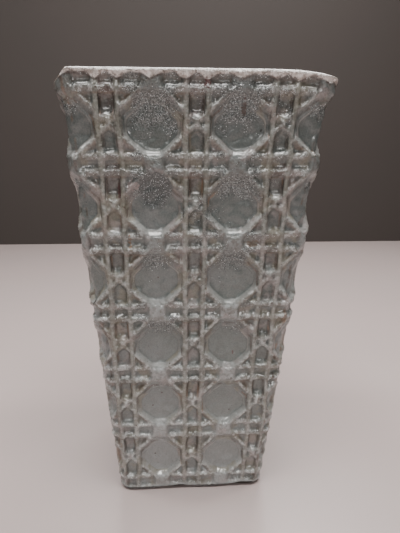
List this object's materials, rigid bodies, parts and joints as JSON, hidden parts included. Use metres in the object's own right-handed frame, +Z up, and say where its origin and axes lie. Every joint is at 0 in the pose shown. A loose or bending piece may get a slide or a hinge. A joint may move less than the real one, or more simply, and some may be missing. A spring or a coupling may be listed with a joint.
{
  "type": "flower pot",
  "caption": "Tall tapered square planter with a woven cane relief in thick grey-green glaze, open at the top, with a chipped lip corner, a slumped corner and a worn uneven foot.",
  "frame": {"origin": "on the surface it stands on, under the middle of the lip", "axes": "+Z up, -Y the front wall, +X to the right; the chip is at the front left corner of the lip"},
  "size_m": [0.2785, 0.2786, 0.5],
  "materials": {
    "glaze": "gloss"
  },
  "bodies": {
    "root": {"pot": "glaze"}
  },
  "joints": []
}
